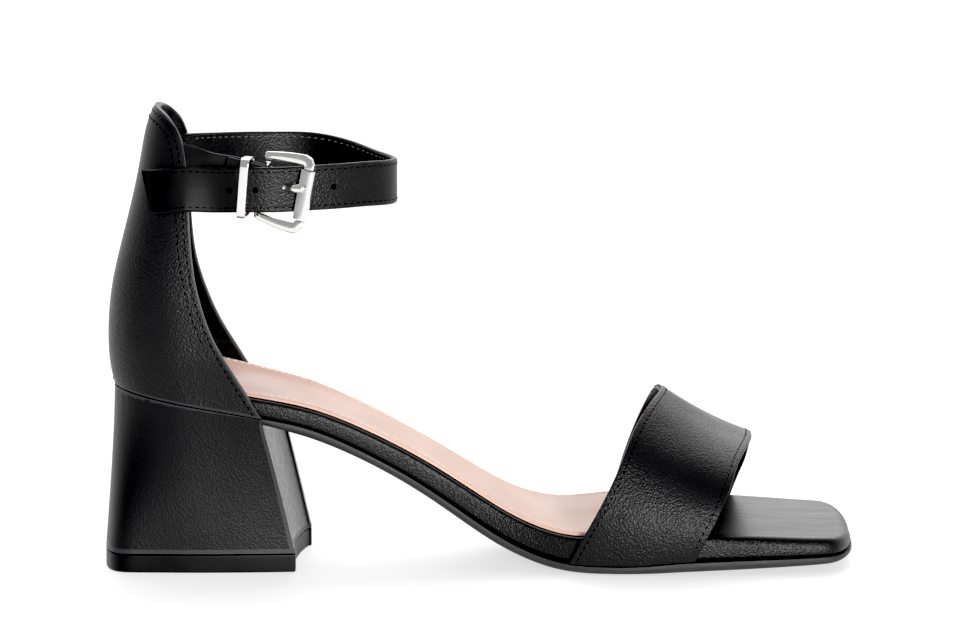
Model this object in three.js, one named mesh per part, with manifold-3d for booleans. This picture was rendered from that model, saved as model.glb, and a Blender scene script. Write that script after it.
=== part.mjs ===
// Ankle strap sandal with a flared block heel, for the right foot, in millimetres.
// +X points to the toe, +Y to the inner side of the foot and +Z up. The floor is z = 0, and the origin
// lies on it below the middle of the sandal.
import * as THREE from "three";
import { mergeVertices } from "three/addons/utils/BufferGeometryUtils.js";
import Module from "manifold-3d";

const wasm = await Module();
wasm.setup();

// Sole sizes
const GAP = 0.3; // glue line between touching pieces
const EASE = 0.1; // more room where two of them curve
const BED_LENGTH = 234.9; // footbed, level, back to toe
const BALL_WIDTH = 80.5; // footbed across the ball
const SEAT_RISE = 54.05; // height of the heel seat above the ball
const TOE_SPRING = 2.6;
const BED_THICKNESS = 8.5;
const BED_DISH = 1.3; // hollow across the footbed
const DISH_LEAST = 8; // least half width that the hollow is worked out for
const BED_EDGE = 1.8; // rounding of the footbed's sides
const TOE_EDGE = 3.3; // rounding of its toe
const TOE_EDGE_FROM = 0.72; // shares of its length between which one rounding grows into the other
const TOE_EDGE_TO = 0.86;
const BED_TUCK = 1; // how far its lower edge turns in under it
const OUTSOLE_THICKNESS = 3;
const OUTSOLE_ROLL = 3.5; // width over which its lower edge curves up
const OUTSOLE_TUCK = 8; // end of the outsole between heel and footbed
const HEEL_ROUND = 25; // length over which the back of the footbed rounds in
const HEEL_FULLNESS = 2.3; // 2 is an ellipse, and more is squarer
const TOE_ROUND = 10.5;
const TOE_FULLNESS = 2.8;

// Insole sizes
const INSOLE_THICKNESS = 1.3;
const INSOLE_INSET = 2.4; // footbed that shows beside the insole
const INSOLE_END = 0.74; // share of the footbed's length where it stops, under the vamp strap
const ARCH_RIM_HEIGHT = 1.5; // padded rim along the inner arch
const ARCH_RIM_WIDTH = 5.5;

// Heel sizes
const HEEL_BASE_LENGTH = 61.7;
const HEEL_BASE_WIDTH = 59;
const HEEL_BREAST_WIDTH = 48.5; // across the front of the base
const HEEL_TOP_LENGTH = 45.8; // along the outer side, under the seat
const HEEL_BACK_FLARE = 3;
const HEEL_SKEW = 4.1; // how far the inner front corner leads the outer one
const HEEL_HOLLOW = 1.6; // depth of the hollow breast
const HEEL_FLANGE = 2.6; // cover that turns on to the breast
const HEEL_FLANGE_STEP = 0.6;
const HEEL_CORNER = 9; // length over which the back corners of the base round in
const HEEL_SQUARENESS = 3;
const TIP_THICKNESS = 5.8;

// Upper sizes
const WALL = 2.2; // outer leather and lining together
const COUNTER_HEIGHT = 91.8; // back of the counter above the seat
const COUNTER_WIDTH = 55.6; // at its fullest
const COUNTER_REACH = 48.3; // from its back to the tip of its wing
const SEATED_LEVEL = 0.04; // up to this level it follows the footbed's plan,
const FREE_LEVEL = 0.2; // and from this level its own
const COUNTER_FALL = 1.7; // over 1, its levels stay high at the back and fall near the front
const VAMP_HEIGHT = 50.4; // rear edge of the vamp strap above the sole line
const VAMP_DROP = 17.2; // how much lower its front edge is
const VAMP_BACK = 143.2; // from the back of the footbed to its rear foot
const VAMP_WIDTH = 40.5; // along the sole
const VAMP_LEAN = 31; // how far the rear edge leans forward at its top
const VAMP_FRONT_LEAN = 19.7;
const VAMP_SKEW = 12.5; // how far its inner foot stands ahead of the outer one
const VAMP_SWELL = 3.2; // how far its front edge runs ahead on the inner side
const VAMP_SAG = 1.6; // hollow of its ridge between the two edges

// Ankle strap and buckle sizes
const STRAP_WIDTH = 14.3;
const STRAP_THICKNESS = 2;
const STRAP_HEIGHT = 65.3; // middle of the strap above the seat line at the back
const LOOP_REACH = 90.2; // from the back of the counter to the front of the loop
const LOOP_WIDTH = 54.4;
const STRAP_START = 0.45; // where it starts inside the counter: 0 is the back and 1 the front edge
const STRAP_START_LIFT = 7; // how much higher than STRAP_HEIGHT it starts there
const STRAP_TIP = 0.53; // where its free end lies outside the counter
const TIP_SLANT = 5.2; // slanted cut of the free end
const SLANT_SHARE = 0.06; // share of the strap's length that is skewed for it
const PRONG_HOLE = 0.45; // share of the buckle's length where the prong comes through the strap
const HOLE_RADIUS = 0.95;
const HOLE_SPACING = 8.3;
const HOLES_BEHIND = 2; // between the prong and the free end
const HOLES_AHEAD = 2;
const TAB_WIDTH = 12.2; // short strap that holds the buckle
const TAB_THICKNESS = 1.2;
const TAB_RISE = 6.7; // how much higher it leaves the counter
const TAB_FALL = 0.9; // 1 is a straight fall to the pin, and more is hollow
const TAB_START = 0.55;
const TAB_TAIL = 13; // end folded back round the pin
const PIN_REACH = 49.2; // from the back of the counter to the pin
const PIN_RADIUS = 0.9;
const BUCKLE_LIFT = 1; // pin above the strap's middle line
const BUCKLE_TURN = 10.8; // degrees by which the buckle hangs down at its front
const BAR_STANDOFF = 1.9; // room between the front bar and the strap below it
const FRAME_LENGTH = 14.5; // from the pin to the middle of the front bar
const FRAME_HEIGHT = 25.4; // over the front bar
const FRAME_TAPER = 1.4; // by which each arm closes in towards the pin
const FRAME_TAIL = 1.5; // arm behind the pin
const FRAME_CORE = 0.52; // share of the wire that is left inside the sleeve of the front bar
const FRAME_WIRE = 3.3; // width of its flat wire at the front
const FRAME_TAIL_SHARE = 0.76; // width left at the ends of the arms
const FRAME_THICKNESS = 2.3;
const FRAME_CORNER = 2;
const ROLLER_LENGTH = 16;
const ROLLER_WIDTH = 4.5;
const ROLLER_THICKNESS = 3.3;
const PRONG_WIDTH = 2.7;
const PRONG_THICKNESS = 1.5;
const PRONG_TURN = 8.5; // degrees from the frame's own direction, so that it lies level
const PRONG_DIP = 0.4; // height over the pin's axis where it comes out through the strap
const PRONG_OVERHANG = 0.5; // prong beyond the middle of the front bar
const KEEPER_BEHIND = 6.4; // from the pin back to the keeper
const KEEPER_BAND = 2.8;
const KEEPER_WALL = 1;
const KEEPER_HEIGHT = 19.6;
const KEEPER_CORNER = 2.2;
const KEEPER_LIFT = 0.5; // its middle above the strap's
const KEEPER_TURN = 6; // degrees

// Materials
const BLACK_LEATHER = { color: 0x1b1a1c, roughness: 0.45, metalness: 0 };
const NUDE_LEATHER = { color: 0xe3bfac, roughness: 0.6, metalness: 0 };
const SOLE_RUBBER = { color: 0x2f2e31, roughness: 0.7, metalness: 0 };
const POLISHED_STEEL = { color: 0xd8d8d6, roughness: 0.18, metalness: 1 };

// Plan of the footbed: half width and swing of its middle line to the inner side, as shares of BALL_WIDTH, at
// shares of BED_LENGTH from the back.
const OUTLINE = [
  { at: 0.0, half: 0.311, swing: -0.04 },
  { at: 0.1, half: 0.314, swing: -0.052 },
  { at: 0.19, half: 0.314, swing: -0.077 },
  { at: 0.25, half: 0.288, swing: -0.096 },
  { at: 0.31, half: 0.275, swing: -0.098 },
  { at: 0.37, half: 0.276, swing: -0.085 },
  { at: 0.43, half: 0.29, swing: -0.068 },
  { at: 0.49, half: 0.315, swing: -0.051 },
  { at: 0.54, half: 0.363, swing: -0.024 },
  { at: 0.6, half: 0.437, swing: 0.004 },
  { at: 0.66, half: 0.489, swing: 0.018 },
  { at: 0.72, half: 0.501, swing: 0.02 },
  { at: 0.79, half: 0.495, swing: 0.018 },
  { at: 0.86, half: 0.48, swing: 0.023 },
  { at: 0.93, half: 0.46, swing: 0.03 },
  { at: 1.0, half: 0.435, swing: 0.035 },
];

// Side view of the sole line, where footbed and outsole meet: rise as a share of SEAT_RISE and spring as a
// share of TOE_SPRING. bed and sole are thicknesses as shares of BED_THICKNESS and OUTSOLE_THICKNESS, welt is
// how far the outsole stands out beyond the footbed, as a share of the upper's wall, and rim is the height of
// the insole's padded rim on the inner side, as a share of ARCH_RIM_HEIGHT.
const PROFILE = [
  { at: 0.0, rise: 1.0, spring: 0, bed: 0.68, sole: 0.5, welt: 0.2, rim: 2.2 },
  { at: 0.06, rise: 0.957, spring: 0, bed: 0.68, sole: 0.5, welt: 0.2, rim: 2.1 },
  { at: 0.12, rise: 0.912, spring: 0, bed: 0.68, sole: 0.5, welt: 0.2, rim: 2 },
  { at: 0.18, rise: 0.87, spring: 0, bed: 0.68, sole: 0.65, welt: 0.2, rim: 1.3 },
  { at: 0.24, rise: 0.822, spring: 0, bed: 0.69, sole: 1.12, welt: 0.2, rim: 0.9 },
  { at: 0.29, rise: 0.744, spring: 0, bed: 0.71, sole: 1.1, welt: 0.2, rim: 0.55 },
  { at: 0.34, rise: 0.638, spring: 0, bed: 0.74, sole: 1, welt: 0.2, rim: 0.25 },
  { at: 0.39, rise: 0.517, spring: 0, bed: 0.77, sole: 1, welt: 0.25, rim: 0.05 },
  { at: 0.44, rise: 0.378, spring: 0, bed: 0.8, sole: 1, welt: 0.35, rim: 0 },
  { at: 0.48, rise: 0.255, spring: 0, bed: 0.84, sole: 1, welt: 0.6, rim: 0 },
  { at: 0.52, rise: 0.142, spring: 0, bed: 0.88, sole: 1, welt: 0.75, rim: 0 },
  { at: 0.56, rise: 0.062, spring: 0, bed: 0.93, sole: 1, welt: 0.85, rim: 0 },
  { at: 0.6, rise: 0.012, spring: 0, bed: 0.97, sole: 1, welt: 0.85, rim: 0 },
  { at: 0.63, rise: 0, spring: 0, bed: 1.02, sole: 1, welt: 0.85, rim: 0 },
  { at: 0.7, rise: 0, spring: 0, bed: 1.12, sole: 1, welt: 0.85, rim: 0 },
  { at: 0.76, rise: 0, spring: 0.5, bed: 1.02, sole: 1.25, welt: 0.85, rim: 0 },
  { at: 0.85, rise: 0, spring: 0.7, bed: 0.91, sole: 1.2, welt: 0.7, rim: 0 },
  { at: 0.93, rise: 0, spring: 0.75, bed: 0.76, sole: 1.05, welt: 0.3, rim: 0 },
  { at: 1.0, rise: 0, spring: 1, bed: 0.64, sole: 0.9, welt: 0.2, rim: 0 },
];

// Counter, a row for each level from its lower edge to its upper edge. up and front are the heights of the
// level at the back and at the front edge, as shares of COUNTER_HEIGHT; bulge is how far the back stands
// behind the seat, reach how far the front edge lies from the seat's back and lag how far the inner front
// edge lies behind the outer one, as shares of COUNTER_REACH. width and round give the plan of the level, as
// shares of COUNTER_WIDTH and of HEEL_ROUND.
const COUNTER = [
  { level: 0.0, up: 0.0, front: 0.0, bulge: 0.0, reach: 1.0, lag: 0, width: 1.0, round: 1.1 },
  { level: 0.06, up: 0.05, front: 0.07, bulge: 0.025, reach: 0.905, lag: 0, width: 1.0, round: 1.1 },
  { level: 0.14, up: 0.14, front: 0.143, bulge: 0.042, reach: 0.81, lag: 0, width: 1.0, round: 1.08 },
  { level: 0.24, up: 0.24, front: 0.235, bulge: 0.037, reach: 0.688, lag: 0, width: 0.98, round: 1.06 },
  { level: 0.36, up: 0.36, front: 0.346, bulge: 0.009, reach: 0.605, lag: 0.015, width: 0.946, round: 1 },
  { level: 0.48, up: 0.48, front: 0.471, bulge: -0.044, reach: 0.549, lag: 0.03, width: 0.9, round: 0.92 },
  { level: 0.6, up: 0.6, front: 0.6, bulge: -0.101, reach: 0.527, lag: 0.03, width: 0.84, round: 0.84 },
  { level: 0.72, up: 0.72, front: 0.717, bulge: -0.153, reach: 0.516, lag: 0.02, width: 0.773, round: 0.76 },
  { level: 0.84, up: 0.84, front: 0.835, bulge: -0.195, reach: 0.505, lag: 0.01, width: 0.7, round: 0.68 },
  { level: 0.93, up: 0.93, front: 0.903, bulge: -0.226, reach: 0.481, lag: 0, width: 0.655, round: 0.62 },
  { level: 1.0, up: 1.0, front: 0.95, bulge: -0.283, reach: 0.438, lag: 0, width: 0.635, round: 0.56 },
];

// Section of the vamp strap from its foot to its ridge: height as a share of the strap's height, lean on its
// outer and inner side as a share of its lean, half width on either side as a share of the sole's own, and
// how far the front edge runs ahead on the inner side, as a share of VAMP_SWELL.
const VAMP = [
  { around: 0.0, up: 0.0, lean: 0.0, innerLean: 0.0, outer: 1.0, inner: 1.0, ahead: 0 },
  { around: 0.12, up: 0.13, lean: 0.1, innerLean: 0.1, outer: 1.022, inner: 1.008, ahead: 0.1 },
  { around: 0.24, up: 0.27, lean: 0.225, innerLean: 0.225, outer: 1.03, inner: 1.012, ahead: 0.3 },
  { around: 0.38, up: 0.44, lean: 0.375, innerLean: 0.365, outer: 1.0, inner: 1.0, ahead: 0.65 },
  { around: 0.52, up: 0.62, lean: 0.52, innerLean: 0.535, outer: 0.925, inner: 0.955, ahead: 0.95 },
  { around: 0.64, up: 0.77, lean: 0.625, innerLean: 0.7, outer: 0.8, inner: 0.86, ahead: 0.9 },
  { around: 0.76, up: 0.89, lean: 0.735, innerLean: 0.84, outer: 0.6, inner: 0.69, ahead: 0.55 },
  { around: 0.88, up: 0.97, lean: 0.88, innerLean: 0.945, outer: 0.32, inner: 0.4, ahead: 0.2 },
  { around: 1.0, up: 1.0, lean: 1.0, innerLean: 1.0, outer: 0.0, inner: 0.0, ahead: 0 },
];

// Free part of the ankle strap, from the inner front edge of the counter round the ankle to the outer one:
// reach from the back of the counter as a share of LOOP_REACH, side as a share of LOOP_WIDTH from the middle
// line of the heel seat, and lift as a share of STRAP_WIDTH.
const LOOP = [
  { reach: 0.33, side: 0.345, lift: 0.41 },
  { reach: 0.435, side: 0.455, lift: 0.38 },
  { reach: 0.565, side: 0.52, lift: 0.355 },
  { reach: 0.7, side: 0.52, lift: 0.34 },
  { reach: 0.82, side: 0.44, lift: 0.22 },
  { reach: 0.92, side: 0.29, lift: 0.06 },
  { reach: 0.985, side: 0.12, lift: 0.005 },
  { reach: 1.0, side: -0.01, lift: 0 },
  { reach: 0.975, side: -0.14, lift: 0.015 },
  { reach: 0.9, side: -0.27, lift: 0.045 },
  { reach: 0.8, side: -0.37, lift: 0.04 },
  { reach: 0.69, side: -0.438, lift: 0.03 },
  { reach: 0.6, side: -0.466, lift: 0.01 },
  { reach: 0.54, side: -0.474, lift: 0.01 },
  { reach: 0.455, side: -0.456, lift: 0.0 },
  { reach: 0.37, side: -0.425, lift: -0.02 },
];

const BED_BACK = -BED_LENGTH / 2;
const BED_FRONT = BED_LENGTH / 2;
const SEAT_BACK = BED_BACK - GAP - WALL; // back of the counter's lower edge
const SOLE_LINE = OUTSOLE_THICKNESS + GAP / 2; // height of the sole line over the ball
const OUTER = -1;
const INNER = 1;

const { sin, cos, tan, PI, hypot, abs, max, min } = Math;
const vec = (x, y, z) => new THREE.Vector3(x, y, z);
const lerp = (a, b, t) => a + (b - a) * t;
const clamp01 = (t) => min(1, max(0, t));
const smooth = (t) => clamp01(t) ** 2 * (3 - 2 * clamp01(t));
const steps = (count) => Array.from({ length: count + 1 }, (_, i) => i / count);
const degrees = (angle) => (angle * PI) / 180;

// The value column of a table as a smooth function of its key column, flat where two rows are equal.
function column(rows, key, value) {
  const x = rows.map((row) => row[key]);
  const y = rows.map((row) => row[value]);
  const last = x.length - 1;
  const slope = x.slice(1).map((_, i) => (y[i + 1] - y[i]) / (x[i + 1] - x[i]));
  const tangent = x.map((_, i) => {
    if (i === 0) return slope[0];
    if (i === last) return slope[last - 1];
    const [a, b] = [slope[i - 1], slope[i]];
    return a * b <= 0 ? 0 : (2 * a * b) / (a + b);
  });
  return (at) => {
    const where = min(x[last], max(x[0], at));
    let i = 0;
    while (i < last - 1 && where > x[i + 1]) i++;
    const width = x[i + 1] - x[i];
    const t = (where - x[i]) / width;
    const bend = (tangent[i] - slope[i]) * (1 - t) - (tangent[i + 1] - slope[i]) * t;
    return lerp(y[i], y[i + 1], t) + width * t * (1 - t) * bend;
  };
}

const columns = (rows, key) =>
  Object.fromEntries(Object.keys(rows[0]).map((name) => [name, column(rows, key, name)]));

const outline = columns(OUTLINE, "at");
const profile = columns(PROFILE, "at");
const counterAt = columns(COUNTER, "level");
const vampAt = columns(VAMP, "around");
const share = (x) => (x - BED_BACK) / BED_LENGTH;
const middle = (x) => outline.swing(share(x)) * BALL_WIDTH;
const rounded = (t, fullness) => (1 - (1 - clamp01(t)) ** fullness) ** (1 / fullness);

// Half width of the footbed at x, grown outwards all round by grow.
function halfWidth(x, grow = 0) {
  const width = outline.half(share(x)) * BALL_WIDTH + grow;
  const toe = rounded((BED_FRONT + grow - x) / (TOE_ROUND + grow), TOE_FULLNESS);
  const heel = rounded((x - BED_BACK + grow) / (HEEL_ROUND + grow), HEEL_FULLNESS);
  return width * toe * heel;
}

function lineHeight(x) {
  const at = share(x);
  return SOLE_LINE + SEAT_RISE * profile.rise(at) + TOE_SPRING * profile.spring(at);
}

// A point at distance up from the sole line's own point at x, square to the line.
function onLine(x, y, up) {
  const step = 0.5;
  const slope = (lineHeight(x + step) - lineHeight(x - step)) / (2 * step);
  const length = hypot(1, slope);
  return vec(x - (up * slope) / length, y, lineHeight(x) + up / length);
}

const bedThickness = (x) => BED_THICKNESS * profile.bed(share(x));
const outsoleThickness = (x) => OUTSOLE_THICKNESS * profile.sole(share(x));
const weltWidth = (x) => WALL * profile.welt(share(x));

// Height of the footbed's top above the sole line: hollow in the middle, full at its edges.
function bedTop(x, y) {
  const across = min(1, abs(y - middle(x)) / max(DISH_LEAST, halfWidth(x)));
  return GAP / 2 + bedThickness(x) - BED_DISH * (1 - across ** 2);
}

// The x values that round off an end of a plan in equal turns, from its apex inwards.
const endOf = (apex, inward, length, fullness, count) =>
  steps(count).map((t) => apex + inward * length * (1 - cos((PI / 2) * t) ** (2 / fullness)));

// Plan of a plate: points with outward normals at the given x values, down its outer side and back up its
// inner side. half gives the half width, which is 0 where an end is rounded off.
function planOf(xs, half) {
  const side = (sign) => xs.map((x) => ({ x, y: middle(x) + sign * half(x), open: half(x) > 0 }));
  const ring = [...side(OUTER), ...side(INNER).filter((p) => p.open).reverse()];
  const count = ring.length;
  ring.forEach((p, i) => {
    const [a, b] = [ring[(i + count - 1) % count], ring[(i + 1) % count]];
    const length = hypot(b.x - a.x, b.y - a.y);
    p.nx = (b.y - a.y) / length;
    p.ny = (a.x - b.x) / length;
  });
  const outward = ring[1].ny * OUTER > 0 ? 1 : -1;
  for (const p of ring) {
    p.nx *= outward;
    p.ny *= outward;
  }
  return ring;
}

// A plate over a plan, in layers from below to above. A layer lies inset from the plan's edge, keeps a share
// of the width and has a height above the sole line.
function plate(plan, layers) {
  const rings = layers.map(({ inset = () => 0, keep = 1, up }) =>
    plan.map((p) => {
      const depth = inset(p.x);
      const x = p.x - p.nx * depth;
      const y = middle(x) + (p.y - p.ny * depth - middle(x)) * keep;
      return onLine(x, y, up(x, y));
    }),
  );
  const count = plan.length;
  const faces = sleeve(rings.length, count);
  const across = (start, k) => start + ((count - k + (plan[0].open ? -1 : 0)) % count);
  const top = (rings.length - 1) * count;
  for (let k = 0; k < count / 2 - 0.5; k++)
    for (const start of [0, top]) {
      const [a, b, c, d] = [start + k, start + k + 1, across(start, k + 1), across(start, k)];
      const corners = start === 0 ? [a, b, c, d] : [d, c, b, a];
      for (const face of [[corners[0], corners[1], corners[2]], [corners[0], corners[2], corners[3]]])
        if (new Set(face).size === 3) faces.push(face);
    }
  return closed(rings.flat(), faces);
}

// The faces between consecutive rings of equally many points.
function sleeve(rings, count) {
  const faces = [];
  for (let i = 0; i < rings - 1; i++)
    for (let j = 0; j < count; j++) {
      const a = i * count + j;
      const b = i * count + ((j + 1) % count);
      faces.push([b, a, a + count], [b, a + count, b + count]);
    }
  return faces;
}

// The geometry of numbered triangles on a list of points, turned so that its faces point out.
function closed(points, faces) {
  let volume = 0;
  for (const [a, b, c] of faces) volume += points[a].dot(points[b].clone().cross(points[c]));
  const index = faces.flatMap(([a, b, c]) => (volume > 0 ? [a, b, c] : [a, c, b]));
  const geometry = new THREE.BufferGeometry().setFromPoints(points);
  geometry.setIndex(index);
  return geometry;
}

// A solid through a list of rings with equally many points, with a cap at each end.
function loft(rings) {
  const count = rings[0].length;
  const points = rings.flat();
  const faces = sleeve(rings.length, count);
  for (const start of [0, (rings.length - 1) * count]) {
    const centre = vec(0, 0, 0);
    for (let j = 0; j < count; j++) centre.addScaledVector(points[start + j], 1 / count);
    points.push(centre);
    for (let j = 0; j < count; j++) {
      const [a, b] = [start + j, start + ((j + 1) % count)];
      faces.push(start === 0 ? [a, b, points.length - 1] : [b, a, points.length - 1]);
    }
  }
  return closed(points, faces);
}

// A wall between two grids of points of the same size, closed along its four edges.
function wallBetween(outside, inside) {
  const rings = outside.map((row, i) => [...row, ...[...inside[i]].reverse()]);
  const count = rings[0].length;
  const faces = sleeve(rings.length, count);
  for (const start of [0, (rings.length - 1) * count])
    for (let j = 0; j < count / 2 - 1; j++) {
      const [a, b, c, d] = [start + j, start + j + 1, start + count - 2 - j, start + count - 1 - j];
      faces.push(...(start === 0 ? [[a, b, c], [a, c, d]] : [[c, b, a], [d, c, a]]));
    }
  return closed(rings.flat(), faces);
}

// The grid of points at distance depth behind a grid, square to its surface.
function behind(grid, depth) {
  const within = (index, list) => list[min(list.length - 1, max(0, index))];
  return grid.map((row, i) =>
    row.map((p, j) => {
      const along = within(j + 1, row).clone().sub(within(j - 1, row));
      const up = within(i + 1, grid)[j].clone().sub(within(i - 1, grid)[j]);
      return p.clone().addScaledVector(up.cross(along).normalize(), -depth);
    }),
  );
}

function toSolid(geometry) {
  const bare = geometry.index ? geometry.toNonIndexed() : geometry.clone();
  bare.deleteAttribute("normal");
  bare.deleteAttribute("uv");
  const merged = mergeVertices(bare, 1e-4);
  const vertProperties = merged.attributes.position.array;
  const triVerts = new Uint32Array(merged.index.array);
  return new wasm.Manifold(new wasm.Mesh({ numProp: 3, vertProperties, triVerts }));
}

function toGeometry(solid) {
  const mesh = solid.getMesh();
  const geometry = new THREE.BufferGeometry();
  geometry.setAttribute("position", new THREE.BufferAttribute(mesh.vertProperties, 3));
  geometry.setIndex(new THREE.BufferAttribute(mesh.triVerts, 1));
  return geometry;
}

const join = (pieces) => toGeometry(pieces.map(toSolid).reduce((a, b) => a.add(b)));
const cut = (geometry, cutters) =>
  toGeometry(cutters.map(toSolid).reduce((a, b) => a.subtract(b), toSolid(geometry)));

// Wrapped footbed, with a small rounding along its sides and a full one round the toe.
function footbed() {
  const toe = endOf(BED_FRONT, -1, TOE_ROUND, TOE_FULLNESS, 8);
  const heel = endOf(BED_BACK, 1, HEEL_ROUND, HEEL_FULLNESS, 8).reverse();
  const sides = steps(22).slice(1, -1).map((t) => lerp(BED_FRONT - TOE_ROUND, BED_BACK + HEEL_ROUND, t));
  const half = (x) => (x === BED_FRONT || x === BED_BACK ? 0 : halfWidth(x));
  const plan = planOf([...toe, ...sides, ...heel], half);
  const toToe = (x) => (share(x) - TOE_EDGE_FROM) / (TOE_EDGE_TO - TOE_EDGE_FROM);
  const edge = (x) => lerp(BED_EDGE, TOE_EDGE, smooth(toToe(x)));
  const bottom = GAP / 2;
  const turn = (part) => ({
    inset: (x) => edge(x) * (1 - cos(degrees(90 * part))),
    up: (x, y) => bedTop(x, y) - edge(x) * (1 - sin(degrees(90 * part))),
  });
  return plate(plan, [
    { inset: () => BED_TUCK, up: () => bottom },
    { inset: () => 0.2 * BED_TUCK, up: () => bottom + 0.45 * BED_TUCK },
    { up: () => bottom + BED_TUCK },
    ...[0, 1 / 3, 2 / 3, 1].map(turn),
    { inset: edge, keep: 0.62, up: bedTop },
    { inset: edge, keep: 0.25, up: bedTop },
  ]);
}

// Insole, from the heel seat to under the vamp strap, with a padded rim that fades out along the inner arch.
function insole() {
  const from = BED_BACK + INSOLE_INSET;
  const to = BED_BACK + INSOLE_END * BED_LENGTH;
  const heel = endOf(from, 1, HEEL_ROUND - INSOLE_INSET, HEEL_FULLNESS, 8);
  const sides = steps(18).slice(1).map((t) => lerp(from + HEEL_ROUND - INSOLE_INSET, to, t));
  const half = (x) => (x === from ? 0 : halfWidth(x, -INSOLE_INSET));
  const plan = planOf([...heel, ...sides], half);
  const top = (x, y) => {
    const toEdge = (half(x) - (y - middle(x))) / ARCH_RIM_WIDTH;
    const rim = ARCH_RIM_HEIGHT * profile.rim(share(x)) * smooth(1.6 * (1 - toEdge));
    return bedTop(x, y) + GAP + INSOLE_THICKNESS + (toEdge < 1 ? rim : 0);
  };
  const layer = (inset, drop, keep = 1) => ({
    inset: () => inset,
    keep,
    up: (x, y) => top(x, y) - drop,
  });
  return plate(plan, [
    { keep: 0.3, up: (x, y) => bedTop(x, y) + GAP },
    { up: (x, y) => bedTop(x, y) + GAP },
    layer(0, 0.6 * INSOLE_THICKNESS),
    layer(0.35 * INSOLE_THICKNESS, 0.12 * INSOLE_THICKNESS),
    layer(0.3 * ARCH_RIM_WIDTH, 0),
    layer(0.6 * ARCH_RIM_WIDTH, 0),
    layer(ARCH_RIM_WIDTH, 0),
    layer(ARCH_RIM_WIDTH, 0, 0.3),
  ]);
}

const outsoleBack = BED_BACK + HEEL_TOP_LENGTH - OUTSOLE_TUCK;

// Outsole from the toe back to the heel's breast, thinned where it runs on to the heel.
function outsole() {
  const front = BED_FRONT + weltWidth(BED_FRONT);
  const toe = endOf(front, -1, TOE_ROUND, TOE_FULLNESS, 8);
  const sides = steps(24).slice(1).map((t) => lerp(front - TOE_ROUND, outsoleBack, t));
  const plan = planOf([...toe, ...sides], (x) => (x === front ? 0 : halfWidth(x, weltWidth(x))));
  const below = (part) => (x) => -GAP / 2 - part * outsoleThickness(x);
  return plate(plan, [
    { inset: () => OUTSOLE_ROLL, up: below(1) },
    { inset: () => 0.35 * OUTSOLE_ROLL, up: below(0.78) },
    { inset: () => 0.05 * OUTSOLE_ROLL, up: below(0.5) },
    { up: below(0.3) },
    { inset: () => EASE, up: below(0) },
  ]);
}

// Plan of the heel at a share of its height, from its outer front corner round the back to the inner one and
// along the hollow breast. base is 1 at the floor and 0 under the seat.
function heelRing(base, z) {
  const wall = GAP + WALL;
  const back = SEAT_BACK - HEEL_BACK_FLARE * base ** 1.4;
  const length = lerp(HEEL_TOP_LENGTH, HEEL_BASE_LENGTH, base);
  const baseHalf = (x, side) => {
    const reach = x - back - (side === INNER ? HEEL_SKEW * clamp01((x - back) / length) : 0);
    const taper = clamp01((reach / length - 0.4) / 0.6) ** 1.6;
    const full = lerp(HEEL_BASE_WIDTH, HEEL_BREAST_WIDTH, taper) / 2;
    return full * rounded(reach / HEEL_CORNER, HEEL_SQUARENESS);
  };
  const sideOf = (side) => {
    const corner = back + length + (side === INNER ? HEEL_SKEW : 0);
    return [...steps(7).map((t) => 0.3 * (1 - cos((PI / 2) * t))), 0.44, 0.58, 0.72, 0.86, 1].map((t) => {
      const x = lerp(back, corner, t);
      const seatX = lerp(SEAT_BACK, corner, t);
      const half = lerp(halfWidth(seatX, wall), baseHalf(x, side), smooth(base));
      return vec(x, middle(x) + side * (t === 0 ? 0 : half), z);
    });
  };
  const outer = sideOf(OUTER).reverse();
  const inner = sideOf(INNER).slice(1);
  const [a, b] = [outer[0], inner[inner.length - 1]];
  const across = b.clone().sub(a);
  const inward = vec(-across.y, across.x, 0).normalize();
  const flange = HEEL_FLANGE / across.length();
  const breast = [
    [1 - flange, 0],
    [1 - 1.15 * flange, HEEL_FLANGE_STEP],
    ...[0.8, 0.6, 0.4, 0.2].map((t) => [t, HEEL_FLANGE_STEP + HEEL_HOLLOW * 4 * t * (1 - t)]),
    [1.15 * flange, HEEL_FLANGE_STEP],
    [flange, 0],
  ].map(([t, depth]) => a.clone().addScaledVector(across, t).addScaledVector(inward, depth));
  return [...outer, ...inner, ...breast];
}

// Covered heel block, cut to the sole line and the end of the outsole that it carries.
function heelBlock() {
  const bottom = TIP_THICKNESS + GAP;
  const top = SOLE_LINE + SEAT_RISE + GAP;
  const rings = steps(6).map((t) => heelRing(1 - t, lerp(bottom, top, t)));
  // A block over the sole line from one x to another, that reaches down by depth below it.
  const over = (from, to, half, depth, count) =>
    loft(
      steps(count).map((t) => {
        const x = lerp(from, to, t);
        const corners = [
          [OUTER, -depth(x)],
          [INNER, -depth(x)],
          [INNER, SEAT_RISE / 2],
          [OUTER, SEAT_RISE / 2],
        ];
        return corners.map(([side, up]) => onLine(x, middle(x) + side * half(x), up));
      }),
    );
  const front = BED_BACK + HEEL_BASE_LENGTH;
  const seat = over(SEAT_BACK - 2 * HEEL_BACK_FLARE, front, () => BALL_WIDTH, () => GAP / 2, 16);
  const slotHalf = (x) => halfWidth(x, weltWidth(x) + GAP);
  const slot = over(outsoleBack - GAP, front, slotHalf, (x) => 1.5 * GAP + outsoleThickness(x), 8);
  return cut(loft(rings), [seat, slot]);
}

const heelTip = () => loft([heelRing(1, 0), heelRing(1, TIP_THICKNESS)]);

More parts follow.
